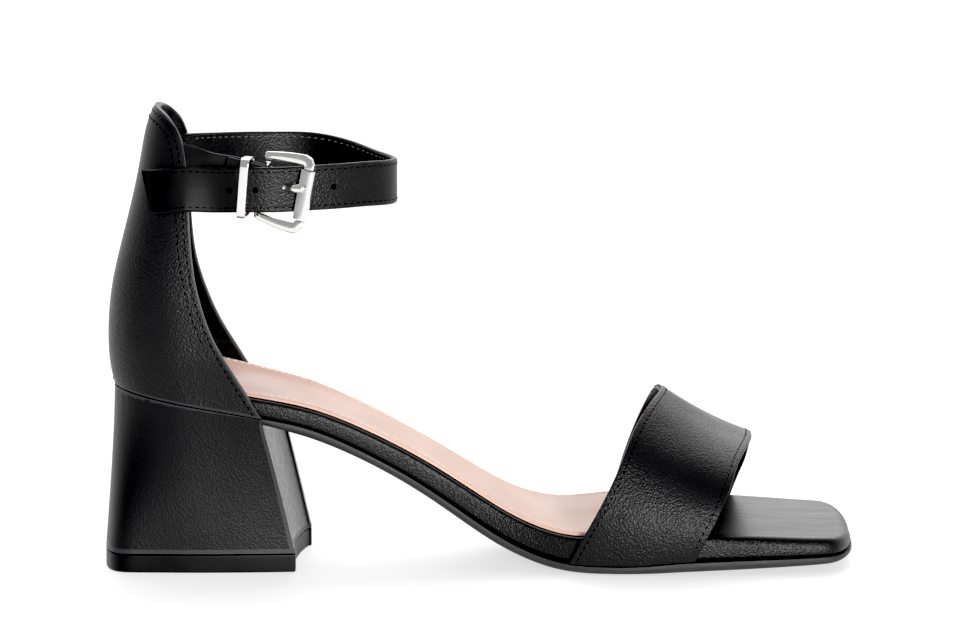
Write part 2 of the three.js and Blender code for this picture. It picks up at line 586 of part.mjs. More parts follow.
// A point on the counter's outside. around runs from -1 at the outer front edge to 1 at the inner one, and
// level from 0 at its lower edge to 1 at its upper edge.
function counterPoint(around, level) {
  const back = SEAT_BACK - COUNTER_REACH * counterAt.bulge(level);
  const lag = around > 0 ? counterAt.lag(level) : 0;
  const front = SEAT_BACK + COUNTER_REACH * (counterAt.reach(level) - lag);
  const forward = 1 - cos((PI / 2) * abs(around));
  const x = lerp(back, front, forward);
  const plan = rounded((x - back) / (HEEL_ROUND * counterAt.round(level)), HEEL_FULLNESS);
  const free = (COUNTER_WIDTH / 2) * counterAt.width(level) * plan;
  const seated = halfWidth(lerp(SEAT_BACK, front, forward), GAP + WALL);
  const clear = smooth((level - SEATED_LEVEL) / (FREE_LEVEL - SEATED_LEVEL));
  const half = around === 0 ? 0 : lerp(seated, free, clear);
  const fall = forward ** COUNTER_FALL;
  const up = COUNTER_HEIGHT * lerp(counterAt.up(level), counterAt.front(level), fall);
  return vec(x, middle(x) + (around < 0 ? OUTER : INNER) * half, lineHeight(x) + GAP / 2 + up);
}

function counter() {
  const around = steps(32).map((t) => 2 * t - 1);
  const levels = steps(15).map((t) => lerp(t, smooth(t), 0.35));
  const outside = levels.map((level) => around.map((u) => counterPoint(u, level)));
  return wallBetween(outside, behind(outside, WALL));
}

// Place on the counter at the given height above the floor, moved out from its outside by offset: the point
// and the direction up along the counter.
function onCounter(around, height, offset) {
  const step = 0.01;
  let [low, high] = [step, 1 - step];
  for (let i = 0; i < 30; i++) {
    const level = (low + high) / 2;
    if (counterPoint(around, level).z < height) low = level;
    else high = level;
  }
  const up = counterPoint(around, low + step).sub(counterPoint(around, low - step)).normalize();
  const inside = max(-1, around - step);
  const along = counterPoint(min(1, around + step), low).sub(counterPoint(inside, low));
  const out = up.clone().cross(along).normalize();
  return { at: counterPoint(around, low).addScaledVector(out, offset), up };
}

// A point on the vamp strap's outside. around runs from -1 at the outer foot over the ridge to 1 at the inner
// foot, and along from 0 at the rear edge to 1 at the front edge.
function vampPoint(around, along) {
  const t = 1 - abs(around);
  const isInner = around > 0;
  const skew = isInner ? VAMP_SKEW : 0;
  const foot = BED_BACK + VAMP_BACK + VAMP_WIDTH * along + skew;
  const lean = lerp(VAMP_LEAN, VAMP_FRONT_LEAN, along) - skew;
  const swell = isInner ? VAMP_SWELL * vampAt.ahead(t) * along : 0;
  const x = foot + lean * (isInner ? vampAt.innerLean(t) : vampAt.lean(t)) + swell;
  const height = VAMP_HEIGHT - VAMP_DROP * along - VAMP_SAG * 4 * along * (1 - along);
  const z = lineHeight(x) + GAP / 2 + height * vampAt.up(t);
  const part = isInner ? vampAt.inner(t) : -vampAt.outer(t);
  return vec(x, middle(x) + halfWidth(x, GAP + WALL) * part, z);
}

function vampStrap() {
  const around = steps(36).map((t) => 2 * t - 1);
  const outside = steps(7).map((along) => around.map((u) => vampPoint(u, along)));
  return wallBetween(outside, behind(outside, WALL));
}

// A flat strip swept through places { at, up }. slant moves the ends of its last section along the strip.
function strip(places, width, thickness, count, slant = 0) {
  const path = new THREE.CatmullRomCurve3(places.map((p) => p.at), false, "centripetal");
  const ups = new THREE.CatmullRomCurve3(places.map((p) => p.up), false, "catmullrom", 0.5);
  const frame = (t) => {
    const along = path.getTangent(t);
    const up = ups.getPoint(t);
    up.addScaledVector(along, -up.dot(along)).normalize();
    return { at: path.getPoint(t), along, up, out: up.clone().cross(along).normalize() };
  };
  const [w, d] = [width / 2, thickness / 2];
  const c = thickness / 4;
  const corners = [
    [w - c, d],
    [w, d - c],
    [w, c - d],
    [w - c, -d],
    [c - w, -d],
    [-w, c - d],
    [-w, d - c],
    [c - w, d],
  ];
  const ring = (t) => {
    const { at, along, up, out } = frame(t);
    const lean = slant * smooth((t - 1 + SLANT_SHARE) / SLANT_SHARE);
    return corners.map(([a, b]) =>
      at.clone().addScaledVector(up, a).addScaledVector(out, b).addScaledVector(along, (lean * a) / width),
    );
  };
  return { path, frame, solid: () => loft(steps(count).map(ring)) };
}

const seatLevel = lineHeight(BED_BACK);
const strapMiddle = seatLevel + STRAP_HEIGHT;

// The ankle strap's middle line, from inside the counter's inner wall round the ankle to the outside of its
// outer wall.
function strapPlaces() {
  const inside = -WALL - GAP - STRAP_THICKNESS / 2 - EASE;
  const outside = GAP + STRAP_THICKNESS / 2 + EASE;
  const lift = (row) => strapMiddle + STRAP_WIDTH * row.lift;
  const startHeight = strapMiddle + STRAP_START_LIFT;
  const start = steps(3).map((t) => onCounter(lerp(STRAP_START, 1, t), startHeight, inside));
  const free = LOOP.map((row) => ({
    at: vec(SEAT_BACK + LOOP_REACH * row.reach, middle(BED_BACK) + LOOP_WIDTH * row.side, lift(row)),
    up: vec(0, 0, 1),
  }));
  const last = LOOP[LOOP.length - 1];
  const end = steps(4).map((t) =>
    onCounter(lerp(-1, -STRAP_TIP, t), lift(last) - 0.1 * STRAP_WIDTH * t, outside),
  );
  return [...start, ...free, ...end];
}

const ankleStrap = strip(strapPlaces(), STRAP_WIDTH, STRAP_THICKNESS, 84, TIP_SLANT);

// The place on the strap's outer part where it passes x, found from its free end.
function strapAt(x) {
  let [low, high] = [0.5, 0.98];
  for (let i = 0; i < 30; i++) {
    const t = (low + high) / 2;
    if (ankleStrap.path.getPoint(t).x > x) low = t;
    else high = t;
  }
  return { t: low, ...ankleStrap.frame(low) };
}

// Buckle frame of reference: origin on the pin, f towards the front bar, u up along the bar and o outwards.
const atPin = strapAt(SEAT_BACK + PIN_REACH);
const buckleDepth = STRAP_THICKNESS / 2 + GAP + TAB_THICKNESS + GAP + PIN_RADIUS;
const pinCentre = vec(atPin.at.x, atPin.at.y + buckleDepth, atPin.at.z + BUCKLE_LIFT);
const underBar = strapAt(atPin.at.x + FRAME_LENGTH).at;
const strapYaw = Math.atan2(atPin.at.y - underBar.y, underBar.x - atPin.at.x);
const barRise = buckleDepth + STRAP_THICKNESS / 2 + BAR_STANDOFF + ROLLER_THICKNESS / 2;
const yaw = strapYaw + Math.asin(barRise / FRAME_LENGTH);
const drop = degrees(BUCKLE_TURN);
const buckleU = vec(sin(drop), 0, cos(drop));
const buckleF = vec(cos(yaw) * cos(drop), -sin(yaw), -cos(yaw) * sin(drop));
const buckleO = buckleF.clone().cross(buckleU).normalize();
const local = (origin, f, u, o) => (a, b, c) =>
  origin.clone().addScaledVector(f, a).addScaledVector(u, b).addScaledVector(o, c);
const inBuckle = local(pinCentre, buckleF, buckleU, buckleO);

// A cosine or sine bent so that it draws a rounded oblong in place of a circle.
const squared = (v) => Math.sign(v) * abs(v) ** 0.5;

// A rod of rounded oblong section through points f, u in the plane of the buckle, which say how wide and
// thick it is there.
function rodInPlane(points, place, width, thickness, sides = 16) {
  return loft(
    points.map(({ f, u, wide, thick }, i) => {
      const a = points[max(0, i - 1)];
      const b = points[min(points.length - 1, i + 1)];
      const length = hypot(b.f - a.f, b.u - a.u);
      const [nf, nu] = [-(b.u - a.u) / length, (b.f - a.f) / length];
      return steps(sides).slice(1).map((t) => {
        const across = (squared(cos(2 * PI * t)) * width * wide) / 2;
        const deep = (squared(sin(2 * PI * t)) * thickness * thick) / 2;
        return place(f + nf * across, u + nu * across, deep);
      });
    }),
  );
}

function buckleFrame() {
  const half = FRAME_HEIGHT / 2 - FRAME_WIRE / 2;
  const shoulder = ROLLER_LENGTH / 2 + GAP;
  const end = FRAME_TAIL_SHARE;
  const upper = [
    { f: -FRAME_TAIL, u: half - FRAME_TAPER, wide: 0.35 * end, thick: 0.4 },
    { f: 0.3 - FRAME_TAIL, u: half - FRAME_TAPER, wide: 0.75 * end, thick: 0.8 },
    { f: 1 - FRAME_TAIL, u: half - 0.97 * FRAME_TAPER, wide: end, thick: 1 },
    { f: 0.3 * FRAME_LENGTH, u: half - 0.4 * FRAME_TAPER, wide: lerp(end, 1, 0.45), thick: 1 },
    { f: 0.6 * FRAME_LENGTH, u: half - 0.08 * FRAME_TAPER, wide: lerp(end, 1, 0.85), thick: 1 },
    { f: FRAME_LENGTH - FRAME_CORNER, u: half, wide: 1.04, thick: 1 },
    { f: FRAME_LENGTH - 0.35 * FRAME_CORNER, u: half - 0.2 * FRAME_CORNER, wide: 1.04, thick: 1 },
    { f: FRAME_LENGTH, u: half - 0.8 * FRAME_CORNER, wide: 1, thick: 1 },
    { f: FRAME_LENGTH, u: shoulder + 0.1, wide: 1, thick: 1 },
    { f: FRAME_LENGTH, u: shoulder, wide: FRAME_CORE, thick: FRAME_CORE },
  ];
  const lower = upper.map((row) => ({ ...row, u: -row.u })).reverse();
  return rodInPlane([...upper, ...lower], inBuckle, FRAME_WIRE, FRAME_THICKNESS);
}

// A bar with a rounded oblong section, standing along u at f.
function barAlong(place, f, length, width, thickness, sides = 16) {
  return loft(
    [-1, 1].map((end) =>
      steps(sides).slice(1).map((t) => {
        const [a, b] = [cos(2 * PI * t), sin(2 * PI * t)];
        return place(f + (squared(a) * width) / 2, (end * length) / 2, (squared(b) * thickness) / 2);
      }),
    ),
  );
}

function buckleRoller() {
  const width = FRAME_WIRE * FRAME_CORE + 2 * (GAP + EASE);
  const depth = FRAME_THICKNESS * FRAME_CORE + 2 * (GAP + EASE);
  const outer = barAlong(inBuckle, FRAME_LENGTH, ROLLER_LENGTH, ROLLER_WIDTH, ROLLER_THICKNESS);
  return cut(outer, [barAlong(inBuckle, FRAME_LENGTH, ROLLER_LENGTH + 2, width, depth)]);
}

// A round bar along u about the pin.
const roundAlong = (radius, length, sides = 16) =>
  loft(
    [-1, 1].map((end) =>
      steps(sides).slice(1).map((t) =>
        inBuckle(radius * cos(2 * PI * t), (end * length) / 2, radius * sin(2 * PI * t)),
      ),
    ),
  );

function bucklePin() {
  const half = FRAME_HEIGHT / 2 - FRAME_WIRE - FRAME_TAPER;
  return roundAlong(PIN_RADIUS, 2 * (half - GAP));
}

// The prong hangs on the pin, passes out through the strap and rests on the front bar. grow widens it, to
// cut the hole that it needs.
function prongPieces(grow = 0) {
  const far = FRAME_LENGTH + PRONG_OVERHANG + grow;
  const rest = ROLLER_THICKNESS / 2 + GAP + PRONG_THICKNESS / 2;
  const hub = PIN_RADIUS + GAP + PRONG_THICKNESS / 2;
  const line = [
    [0, 0.7 * hub, 0.85],
    [0.1, 0.72 * hub, 0.85],
    [0.32, lerp(PRONG_DIP, 0.72 * hub, 0.4), 0.8],
    [0.5, PRONG_DIP, 0.8],
    [0.62, lerp(PRONG_DIP, rest, 0.42), 0.92],
    [0.74, lerp(PRONG_DIP, rest, 0.84), 1],
    [0.83, rest, 1],
    [0.93, rest, 1],
    [0.98, rest, 0.85],
    [1, rest - 0.1, 0.6],
  ];
  const bar = loft(
    line.map(([t, out, scale]) =>
      steps(10).slice(1).map((s) => {
        const across = (cos(2 * PI * s) * (PRONG_WIDTH + 2 * grow) * scale) / 2;
        const deep = (sin(2 * PI * s) * (PRONG_THICKNESS + 2 * grow) * scale) / 2;
        return inBuckle(far * t, far * t * tan(degrees(PRONG_TURN)) + across, out + deep);
      }),
    ),
  );
  return [bar, roundAlong(PIN_RADIUS + GAP + PRONG_THICKNESS * 0.7 + grow, PRONG_WIDTH + 2 * grow)];
}

const buckleProng = () => cut(join(prongPieces()), [roundAlong(PIN_RADIUS + GAP, FRAME_HEIGHT)]);

// The short strap, from inside the counter's outer wall to the pin, round it and back. The fold is slotted
// for the prong.
function buckleStrap() {
  const inside = -WALL - GAP - TAB_THICKNESS / 2 - EASE;
  const turn = PIN_RADIUS + GAP + TAB_THICKNESS / 2;
  const root = steps(2).map((t) => {
    const rise = TAB_RISE * (1 + 0.25 * (1 - t));
    return onCounter(lerp(-TAB_START, -1, t), pinCentre.z + rise, inside);
  });
  const rootDepth = STRAP_THICKNESS / 2 + GAP + EASE - inside;
  // A place at distance depth behind the ankle strap, a share of the way from the counter's edge to the pin.
  const underStrap = (t, depth, rise) => {
    const place = strapAt(lerp(root[2].at.x, pinCentre.x, t));
    const at = place.at.clone().addScaledVector(place.out, -depth);
    return { at: at.setZ(lerp(at.z, pinCentre.z, t) + rise), up: buckleU };
  };
  const run = [0.28, 0.55, 0.78].map((t) =>
    underStrap(t, lerp(rootDepth, buckleDepth + turn, t), TAB_RISE * (1 - t) ** TAB_FALL),
  );
  const fold = steps(6).map((t) => {
    const angle = lerp(-PI / 2, PI / 2, t);
    return { at: inBuckle(turn * cos(angle), 0, turn * sin(angle)), up: buckleU };
  });
  const tailDepth = STRAP_THICKNESS / 2 + GAP + TAB_THICKNESS / 2 + EASE;
  const tailShare = TAB_TAIL / (pinCentre.x - root[2].at.x);
  const tail = [0.5, 0.75, 1].map((t) => {
    const back = tailShare * t;
    return underStrap(1 - back, tailDepth, TAB_RISE * back ** TAB_FALL);
  });
  const band = strip([...root, ...run, ...fold, ...tail], TAB_WIDTH, TAB_THICKNESS, 56).solid();
  const slot = roundAlong(turn + 2 * TAB_THICKNESS, PRONG_WIDTH + 4 * GAP);
  return cut(band, [slot]);
}

// Metal loop that holds the strap's free end down on the short strap.
function keeper() {
  const place = strapAt(pinCentre.x - KEEPER_BEHIND);
  const angle = degrees(KEEPER_TURN);
  const u = place.up.clone().applyAxisAngle(place.out, -angle).normalize();
  const f = u.clone().cross(place.out).normalize();
  const depth = STRAP_THICKNESS / 2 + buckleDepth + PIN_RADIUS + TAB_THICKNESS + 3 * GAP;
  const centre = place.at.clone().addScaledVector(place.out, STRAP_THICKNESS / 2 + GAP - depth / 2);
  centre.addScaledVector(u, KEEPER_LIFT);
  const at = local(centre, f, u, place.out);
  const loop = (height, deep, length, round) => {
    const [h, d] = [height / 2 - round, deep / 2 - round];
    const corner = (su, so, from) =>
      steps(3).map((t) => {
        const a = degrees(from + 90 * t);
        return [su * h + round * cos(a), so * d + round * sin(a)];
      });
    const ring = [...corner(1, 1, 0), ...corner(-1, 1, 90), ...corner(-1, -1, 180), ...corner(1, -1, 270)];
    return loft([-1, 1].map((end) => ring.map(([b, c]) => at((end * length) / 2, b, c))));
  };
  const inner = loop(KEEPER_HEIGHT - 2 * KEEPER_WALL, depth, 2 * KEEPER_BAND, KEEPER_CORNER / 2);
  return cut(loop(KEEPER_HEIGHT, depth + 2 * KEEPER_WALL, KEEPER_BAND, KEEPER_CORNER), [inner]);
}

// The ankle strap with its row of punched holes and the longer one that the prong has opened.
function finishedStrap() {
  const hole = (offset) => {
    let { t } = strapAt(inBuckle(PRONG_HOLE * FRAME_LENGTH, 0, 0).x);
    const dt = Math.sign(offset) * 0.0005;
    for (let gone = 0; gone < abs(offset); t += dt)
      gone += ankleStrap.path.getPoint(t).distanceTo(ankleStrap.path.getPoint(t + dt));
    const { at, along, up, out } = ankleStrap.frame(t);
    const place = local(at, along, up, out);
    return loft(
      [-STRAP_THICKNESS, STRAP_THICKNESS].map((deep) =>
        steps(10).slice(1).map((s) =>
          place(HOLE_RADIUS * cos(2 * PI * s), HOLE_RADIUS * sin(2 * PI * s), deep),
        ),
      ),
    );
  };
  const holes = [];
  for (let i = 1; i <= HOLES_BEHIND; i++) holes.push(hole(HOLE_SPACING * i));
  for (let i = 1; i <= HOLES_AHEAD; i++) holes.push(hole(-HOLE_SPACING * i));
  return cut(ankleStrap.solid(), [...holes, prongPieces(GAP)[0]]);
}

// Meshes, in a group that stands on the floor with the origin below its middle.
const pieces = {
  outsole: [outsole(), SOLE_RUBBER],
  footbed: [footbed(), BLACK_LEATHER],
  insole: [insole(), NUDE_LEATHER],
  heel_block: [heelBlock(), BLACK_LEATHER],
  heel_tip: [heelTip(), SOLE_RUBBER],
  counter: [counter(), BLACK_LEATHER],
  vamp_strap: [vampStrap(), BLACK_LEATHER],
  ankle_strap: [finishedStrap(), BLACK_LEATHER],
  buckle_strap: [buckleStrap(), BLACK_LEATHER],
  keeper: [keeper(), POLISHED_STEEL],
  buckle_frame: [buckleFrame(), POLISHED_STEEL],
  buckle_roller: [buckleRoller(), POLISHED_STEEL],
  buckle_pin: [bucklePin(), POLISHED_STEEL],
  buckle_prong: [buckleProng(), POLISHED_STEEL],
};

const sandal = new THREE.Group();
for (const [name, [geometry, finish]] of Object.entries(pieces)) {
  geometry.computeVertexNormals();
  const mesh = new THREE.Mesh(geometry, new THREE.MeshStandardMaterial(finish));
  mesh.name = name;
  sandal.add(mesh);
}
const box = new THREE.Box3().setFromObject(sandal);
sandal.position.set(-(box.min.x + box.max.x) / 2, -(box.min.y + box.max.y) / 2, -box.min.z);

export default sandal;
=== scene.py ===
import math

import bmesh
import bpy
from mathutils import Matrix, Vector
from mathutils.bvhtree import BVHTree


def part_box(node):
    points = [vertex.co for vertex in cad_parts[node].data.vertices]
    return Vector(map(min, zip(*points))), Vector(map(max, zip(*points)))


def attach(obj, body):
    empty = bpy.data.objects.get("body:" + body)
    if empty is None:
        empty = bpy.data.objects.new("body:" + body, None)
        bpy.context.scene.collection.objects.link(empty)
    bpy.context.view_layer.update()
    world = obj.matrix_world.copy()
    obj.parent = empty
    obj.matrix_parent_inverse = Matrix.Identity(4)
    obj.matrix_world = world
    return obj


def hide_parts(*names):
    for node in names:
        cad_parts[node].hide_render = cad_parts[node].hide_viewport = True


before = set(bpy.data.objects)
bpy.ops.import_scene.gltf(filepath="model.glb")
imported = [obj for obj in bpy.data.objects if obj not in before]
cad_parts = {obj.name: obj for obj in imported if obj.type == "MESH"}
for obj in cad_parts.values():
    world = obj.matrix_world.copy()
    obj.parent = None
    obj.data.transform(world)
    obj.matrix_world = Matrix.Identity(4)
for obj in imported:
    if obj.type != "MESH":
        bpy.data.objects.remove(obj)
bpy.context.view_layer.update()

MM = 0.001

# Camera, as in the photograph: level with the sandal's outer side and a little above it
VIEW_ELEVATION = math.radians(8.6)
VIEW_DISTANCE = 2.0
VIEW_TARGET = Vector((0.26 * MM, 0, 76.4 * MM))
SENSOR_WIDTH = 36.0
LENS = 232.5

# Light: the room in front, the backdrop, and lamps with their power, the width of their soft box in degrees
# and where they stand: azimuth from the camera to the right, and elevation. What is darker than BLACK_LEVEL
# is shown black.
ROOM_LIGHT = 0.4
BACKDROP_LIGHT = 1.05
LAMPS = (
    ("top_box", 1.45, 56, 178, 42),
    ("front_box", 3.0, 15, 15, 8),
)
BLACK_LEVEL = 0.019

BACKDROP_FROM = -0.3  # over this span of a direction's Y the room grows into the backdrop
BACKDROP_FULL = 0.9
FLOOR_SIZE = 12.0

# Thread, and how far its rows lie from an edge
STITCH_LENGTH = 1.7 * MM
STITCH_PITCH = 2.3 * MM
STITCH_RADIUS = 0.26 * MM
STRAP_STITCH_RADIUS = 0.22 * MM
STITCH_SUNK = 0.3  # of its radius
COUNTER_ROW = 1.8 * MM
COUNTER_SECOND_ROW = 4.2 * MM
SECOND_ROW_DROP = 40 * MM  # how far the second row goes on below the ankle strap
VAMP_ROW = 2 * MM
STRAP_ROW = 1.0 * MM
SOCK_ROW = 1.6 * MM

# Colours, linear
BLACK = (0.006, 0.0059, 0.0064, 1)
# Edge paint, lighter than the leather so that it also paints a highlight line along rounded edges
EDGE_PAINT_AND_HIGHLIGHT = (0.03, 0.03, 0.032, 1)
# Painted shade for the inside of the punched holes
HOLE_SHADE_BLACK = (0.003, 0.003, 0.003, 1)
BLACK_THREAD = (0.004, 0.004, 0.004, 1)
GREY_THREAD = (0.17, 0.165, 0.165, 1)
PALE_THREAD = (0.95, 0.86, 0.76, 1)
NUDE = (0.66, 0.44, 0.355, 1)
# The nude darkened towards the heel: painted shade
NUDE_PAINTED_SHADE = (0.52, 0.325, 0.265, 1)
OUTSOLE_GREY = (0.017, 0.017, 0.018, 1)
TIP_GREY = (0.004, 0.004, 0.0042, 1)
STEEL = (0.83, 0.83, 0.81, 1)
FLOOR = (0.5, 0.5, 0.5, 1)
FLOOR_GLOW = 0.62


# Materials

class Nodes:
    """A material's node tree, with short calls to add and join nodes."""

    def __init__(self, name, **surface):
        self.material = bpy.data.materials.new(name)
        self.material.use_nodes = True
        self.tree = self.material.node_tree
        self.shader = self.tree.nodes["Principled BSDF"]
        for socket, value in surface.items():
            self.shader.inputs[socket.replace("_", " ")].default_value = value

    def add(self, kind, inputs=None, **settings):
        node = self.tree.nodes.new(kind)
        for key, value in settings.items():
            setattr(node, key, value)
        for socket, value in (inputs or {}).items():
            if isinstance(value, bpy.types.NodeSocket):
                self.tree.links.new(value, node.inputs[socket])
            else:
                node.inputs[socket].default_value = value
        return node

    def place(self):
        return self.add("ShaderNodeTexCoord").outputs["Object"]

    def noise(self, scale, detail=3.0, place=None, roughness=0.5):
        inputs = {"Vector": place or self.place(), "Scale": scale, "Detail": detail, "Roughness": roughness}
        return self.add("ShaderNodeTexNoise", inputs).outputs["Fac"]

    def span(self, value, low, high, to_low=0.0, to_high=1.0):
        inputs = {"Value": value, "From Min": low, "From Max": high, "To Min": to_low, "To Max": to_high}
        return self.add("ShaderNodeMapRange", inputs).outputs["Result"]

    def math(self, operation, a, b):
        return self.add("ShaderNodeMath", {0: a, 1: b}, operation=operation).outputs[0]

    def mix(self, share, a, b):
        node = self.add("ShaderNodeMix", data_type="RGBA")
        for key, value in ((0, share), (6, a), (7, b)):
            if isinstance(value, bpy.types.NodeSocket):
                self.tree.links.new(value, node.inputs[key])
            else:
                node.inputs[key].default_value = value
        return node.outputs[2]

    def bump(self, height, distance, strength=1.0, under=None):
        inputs = {"Height": height, "Distance": distance, "Strength": strength}
        if under:
            inputs["Normal"] = under
        return self.add("ShaderNodeBump", inputs).outputs["Normal"]

    def set(self, socket, value):
        self.tree.links.new(value, self.shader.inputs[socket])


def leather(name, dark, light, grain=0.72 * MM, depth=0.1 * MM, rough=(0.28, 0.4),
            specular=0.25):
    """Pebbled leather: cells of grain, broken by noise and flatter in large patches, over slow waves."""
    n = Nodes(name, IOR=1.5, Specular_IOR_Level=specular)
    place = n.place()
    warp = n.add("ShaderNodeTexNoise", {"Vector": place, "Scale": 0.6 / grain, "Detail": 2.0})
    shifted = n.add("ShaderNodeVectorMath", {0: warp.outputs["Color"], 1: (0.5, 0.5, 0.5)}, operation="SUBTRACT")
    small = n.add("ShaderNodeVectorMath", {0: shifted.outputs[0], "Scale": 0.9 * grain}, operation="SCALE")
    bent = n.add("ShaderNodeVectorMath", {0: place, 1: small.outputs[0]}, operation="ADD").outputs[0]
    cells = n.add("ShaderNodeTexVoronoi", {"Vector": bent, "Scale": 1 / grain}, feature="SMOOTH_F1")
    cells.inputs["Smoothness"].default_value = 0.3
    pebbles = n.span(cells.outputs["Distance"], 0.12, 0.7, 1.0, 0.0)
    fine = n.noise(3.4 / grain, 2.0, place)
    patch = n.span(n.noise(30.0, 3.0, place), 0.33, 0.62, 0.4, 1.0)
    height = n.math("MULTIPLY", n.math("ADD", pebbles, n.math("MULTIPLY", fine, 0.4)), patch)
    wide = n.bump(n.noise(60.0, 2.0, place), 0.35 * MM, 0.5)
    n.set("Normal", n.bump(height, depth, 1.0, wide))
    shade = n.span(n.noise(45.0, 4.0, place), 0.3, 0.72)
    worn = n.math("MULTIPLY", shade, n.span(pebbles, 0.0, 1.0, 0.4, 1.0))
    n.set("Base Color", n.mix(worn, dark, light))
    polish = n.math("MULTIPLY", pebbles, n.span(shade, 0.0, 1.0, 0.6, 1.0))
    n.set("Roughness", n.span(polish, 0.1, 0.8, rough[1], rough[0]))
    return n.material


def smooth_leather(name, colour, rough=0.36, specular=0.28):
    """Finished leather stretched smooth, with a trace of grain and faint drawn streaks along the foot."""
    n = Nodes(name, IOR=1.5, Specular_IOR_Level=specular)
    place = n.place()
    drawn = n.add("ShaderNodeMapping", {"Vector": place, "Scale": (0.12, 1, 1)}).outputs[0]
    streaks = n.bump(n.noise(1300.0, 4.0, drawn), 0.03 * MM, 0.5, n.bump(n.noise(70.0, 2.0, place), 0.2 * MM, 0.3))
    n.set("Normal", n.bump(n.noise(1500.0, 3.0, place), 0.03 * MM, 0.6, streaks))
    tint = n.span(n.noise(40.0, 4.0, place), 0.3, 0.7)
    n.set("Base Color", n.mix(tint, colour, tuple(0.8 * c for c in colour[:3]) + (1,)))
    n.set("Roughness", n.span(n.noise(400.0, 5.0, drawn), 0.3, 0.7, rough - 0.04, rough + 0.05))
    return n.material


def sock_leather(name):
    """Nude sock leather with painted shade, darker towards the heel, with soft tone changes and a very fine grain.
    """
    n = Nodes(name, IOR=1.45, Sheen_Weight=0.08, Sheen_Roughness=0.5)
    place = n.place()
    split = n.add("ShaderNodeSeparateXYZ", {"Vector": place})
    # Painted shade: the sock darkens towards the heel
    heel_shade = n.span(split.outputs["X"], -20 * MM, -95 * MM)
    clouds = n.span(n.noise(32.0, 4.0, place), 0.25, 0.75, -0.12, 0.18)
    shade_and_tone = n.math("ADD", heel_shade, clouds)
    shade_and_tone.node.use_clamp = True
    n.set("Base Color", n.mix(shade_and_tone, NUDE, NUDE_PAINTED_SHADE))
    cells = n.add("ShaderNodeTexVoronoi", {"Vector": place, "Scale": 1 / (0.55 * MM)})
    under = n.bump(n.noise(90.0, 3.0, place), 0.4 * MM, 0.4)
    n.set("Normal", n.bump(cells.outputs["Distance"], 0.035 * MM, 0.7, under))
    n.set("Roughness", n.span(n.noise(60.0, 4.0, place), 0.3, 0.7, 0.44, 0.6))
    return n.material


def rubber(name, colour, rough, ribs=0.0, specular=0.5):
    """Moulded rubber with a matt, slightly dusty skin."""
    n = Nodes(name, IOR=1.5, Specular_IOR_Level=specular)
    place = n.place()
    dust = n.span(n.noise(120.0, 5.0, place), 0.35, 0.75)
    n.set("Base Color", n.mix(dust, colour, tuple(min(1.0, 1.6 * c) for c in colour[:3]) + (1,)))
    normal = n.bump(n.noise(2600.0, 3.0, place), 0.03 * MM, 0.7)
    if ribs:
        wave = n.add("ShaderNodeTexWave", {"Vector": place, "Scale": 0.314 / ribs, "Distortion": 0.0})
        split = n.add("ShaderNodeSeparateXYZ", {"Vector": n.add("ShaderNodeNewGeometry").outputs["Normal"]})
        below = n.span(split.outputs["Z"], -0.8, -0.95)
        normal = n.bump(n.math("MULTIPLY", wave.outputs["Fac"], below), 0.3 * MM, 0.8, normal)
    n.set("Normal", normal)
    n.set("Roughness", n.span(dust, 0.0, 1.0, rough - 0.06, rough + 0.08))
    return n.material


def steel(name):
    """Polished plated metal with faint hairlines and softer patches."""
    n = Nodes(name, Base_Color=STEEL, Metallic=1.0)
    place = n.place()
    n.set("Roughness", n.span(n.noise(260.0, 5.0, place), 0.3, 0.75, 0.07, 0.19))
    n.set("Normal", n.bump(n.noise(420.0, 3.0, place), 0.02 * MM, 0.5))
    return n.material


def thread(name, colour, specular=0.5):
    """Twisted sewing thread."""
    n = Nodes(name, IOR=1.45, Specular_IOR_Level=specular)
    place = n.place()
    n.set("Base Color", n.mix(n.noise(900.0, 2.0, place), colour, tuple(0.6 * c for c in colour[:3]) + (1,)))
    twist = n.add("ShaderNodeTexWave", {"Vector": place, "Scale": 900.0, "Distortion": 1.5})
    n.set("Normal", n.bump(twist.outputs["Fac"], 0.05 * MM, 0.6))
    n.set("Roughness", n.span(n.noise(700.0, 2.0, place), 0.3, 0.7, 0.5, 0.75))
    return n.material


def floor_material():
    n = Nodes("studio_floor", Base_Color=FLOOR, Emission_Color=(1, 1, 1, 1), Emission_Strength=FLOOR_GLOW)
    n.shader.inputs["Specular IOR Level"].default_value = 0.15
    n.set("Roughness", n.span(n.noise(3.0, 2.0), 0.3, 0.7, 0.55, 0.65))
    return n.material


GRAIN = leather("black_leather", BLACK, tuple(1.6 * c for c in BLACK[:3]) + (1,))
HEEL_GRAIN = leather("heel_leather", BLACK, tuple(1.4 * c for c in BLACK[:3]) + (1,), 0.7 * MM, 0.05 * MM,
                     (0.32, 0.42), 0.2)
SMOOTH = smooth_leather("smooth_leather", BLACK)
MATT = smooth_leather("matt_leather", BLACK, 0.5, 0.17)
PATENT = smooth_leather("breast_leather", BLACK, 0.22, 0.22)
# Edge paint with a painted highlight: its lighter tone stands in for the light line along the edges
PAINTED_EDGE_HIGHLIGHT = smooth_leather("painted_edge", EDGE_PAINT_AND_HIGHLIGHT, 0.4)
# A dark disc in each punched hole: painted shade
HOLE_SHADE = smooth_leather("hole_edge", HOLE_SHADE_BLACK, 0.7, 0.1)
SOCK = sock_leather("nude_leather")
SOLE = rubber("outsole_rubber", OUTSOLE_GREY, 0.6, 2.2 * MM)
TIP = rubber("tip_rubber", TIP_GREY, 0.42, 2.2 * MM, 0.15)
METAL = steel("polished_metal")
DARK_THREAD = thread("black_thread", BLACK_THREAD, 0.12)
MID_THREAD = thread("grey_thread", GREY_THREAD)
NUDE_THREAD = thread("pale_thread", PALE_THREAD)


# Pieces made from the frame's nodes

